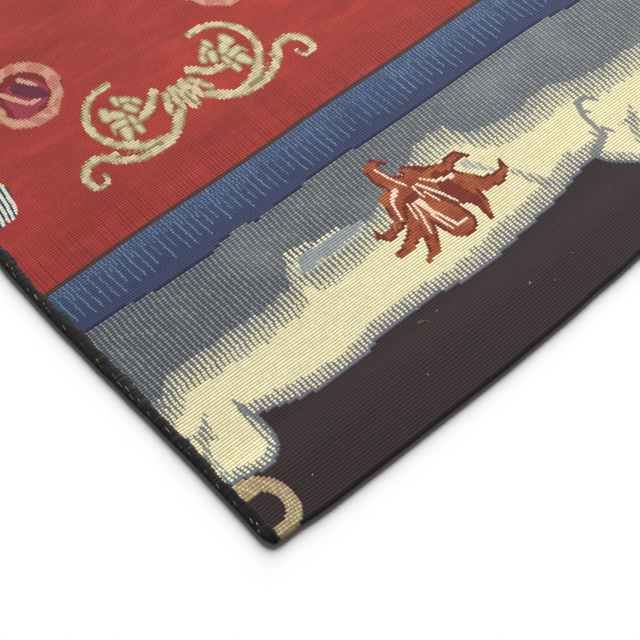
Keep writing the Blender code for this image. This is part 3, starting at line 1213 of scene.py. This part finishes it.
# %% Black wool finish
def wool_finish(material, colours, per_turn, strength=0.4, noise=3200):
    """Colours picked turn by turn along the piece, with fibre noise as bump."""
    shader = bsdf_of(material)
    ink.update(tree=material.node_tree, count=0)
    shader.location = (1400, 500)
    material.node_tree.nodes["Material Output"].location = (1700, 500)
    where = Value(new_node("ShaderNodeTexCoord").outputs["Object"])
    _, along = x_and_y(where)
    pick = chance(calc("FLOOR", along / per_turn))
    ramp = new_node("ShaderNodeValToRGB")
    ramp.color_ramp.interpolation = "CONSTANT"
    for number, (start, shade) in enumerate(colours):
        if number < 2:
            stop = ramp.color_ramp.elements[number]
            stop.position = start
        else:
            stop = ramp.color_ramp.elements.new(start)
        stop.color = shade
    feed(ramp.inputs[0], pick)
    fibre = soft_noise("3D", where, noise, 2)
    feed(shader.inputs["Base Color"], scaled(Value(ramp.outputs[0]), fibre * 1.2 + 0.4))
    woollen(material, fibre, strength, 0.0001, 0.15, 0.25)


wool_finish(turns_material, (
    (0, wool(30, 30, 33)), (0.35, wool(22, 22, 25)), (0.6, wool(40, 39, 42)),
    (0.85, wool(46, 41, 38)), (0.95, wool(62, 60, 60)),
), PITCH)
wool_finish(bar_material, ((0, wool(20, 20, 22)), (0.5, wool(26, 25, 26))), 0.004)
print("nodes in the yarn:", len(turns_material.node_tree.nodes))

# %% [markdown]
# ## Coloured bits caught in the binding
# Here and there a yellow, cream or brown bit of wool shows on the black, slanting along the edge.
# They are short lengths of yarn that dive under the turns at both ends.

# %% Coloured bits
def build_bits(name, material):
    """Short slanting bits of yarn on the shoulder of the binding."""
    points, faces = [], []
    y = 0.008
    count = 0
    while y < DEPTH - 0.012:
        inner, outer, thick = binding_size(y)
        width = inner - outer
        share = dice.uniform(0.48, 0.86)
        length = dice.uniform(0.0022, 0.0055)
        slant = dice.uniform(0.0004, 0.0012)
        height = thick * (0.5 + 0.5 * math.sqrt(max(0, 1 - ((share - 0.5) * 1.9) ** 2)))
        knots = []
        for t in (0, 0.25, 0.5, 0.75, 1):
            lift = math.sin(t * math.pi) * 0.00042 - 0.00028
            x = inner - share * width + slant * (t - 0.5)
            knots.append(CORNER + Vector((x - lift * 0.4, y + length * t, height + lift)))
        line = round_line(knots, 2)
        size = dice.uniform(0.00018, 0.00032)
        radii = [size * (0.55 + 0.45 * math.sin(math.pi * (n + 0.5) / len(line))) for n in range(len(line))]
        add_tube(points, faces, line, radii, 6, Vector((1, 0, 0)))
        y += length + dice.choice((0.001, 0.004, 0.007, 0.011))
        count += 1
    return new_mesh_object(name, points, faces, material), count


bits_material = new_material("binding_bits", (0.3, 0.25, 0.1), 0.85)
bits, bit_count = build_bits("binding_bits", bits_material)
wool_finish(bits_material, (
    (0, wool(132, 124, 62)), (0.4, wool(180, 172, 126)),
    (0.55, wool(104, 96, 54)), (0.85, wool(104, 66, 50)),
), 0.006)
for piece in (bar, turns_piece, bits):
    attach(piece, "root")
    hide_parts("binding_left")
print("bits:", bit_count)

# %% [markdown]
# ## Lint and a loose end
# An old textile is never quite clean. A few bits of white lint and one bent hair lie on the brown,
# and a loose end of pink wool curls beside the leaf. Each is a hair-thin yarn laid on the ribs.

# %% Lint and loose ends
# x, y, length, turn in degrees, bend and radius of each bit, in millimetres
LINT = {
    "white": (
        (228, 30, 1.6, 20, 0.2, 0.22), (241, 22, 1.2, 140, 0.1, 0.18),
        (136, 24, 1, 60, 0, 0.16), (172, 51, 1.2, 70, 0.1, 0.16),
    ),
    "straw": (
        (264, 28, 1.4, 80, 0.1, 0.20), (41, 19, 1.3, 30, 0.1, 0.20),
        (161, 50, 5, -35, 1.2, 0.14), (158.5, 52, 3.4, 20, 0.6, 0.12),
        (164, 59.5, 2.6, -20, 0.4, 0.28),
    ),
    "pink": ((198, 114, 11, 15, 4.6, 0.24),),
}
LINT_COLOURS = {"white": wool(232, 230, 224), "straw": wool(196, 176, 130), "pink": wool(214, 158, 140)}


def build_lint(name, rows, material):
    """Hair-thin curved yarns lying on the face of the cloth."""
    points, faces = [], []
    for middle_x, middle_y, length, degrees, bend, radius in rows:
        turn = math.radians(degrees)
        knots = []
        for t in (-0.5, -0.25, 0, 0.25, 0.5):
            along, aside = length * t, bend * (1 - 4 * t * t) - bend / 2
            x = (middle_x + along * math.cos(turn) - aside * math.sin(turn)) / 1000
            y = (middle_y + along * math.sin(turn) + aside * math.cos(turn)) / 1000
            knots.append(place(x, y, cloth_top(y) + radius / 1000 * 0.8, y))
        line = round_line(knots, 4)
        add_tube(points, faces, line, [radius / 1000] * len(line), 6, Vector((0, 0, 1)))
    made = new_mesh_object(name, points, faces, material)
    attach(made, "root")
    return made


for shade, tint in LINT_COLOURS.items():
    lint_material = new_material("lint_" + shade, tint[:3], 0.8)
    build_lint("lint_" + shade, LINT[shade], lint_material)
    wool_finish(lint_material, ((0, tint), (0.5, tuple(c * 0.8 for c in tint[:3]) + (1,))), 0.0007)
print("bits of lint:", sum(len(rows) for rows in LINT.values()))
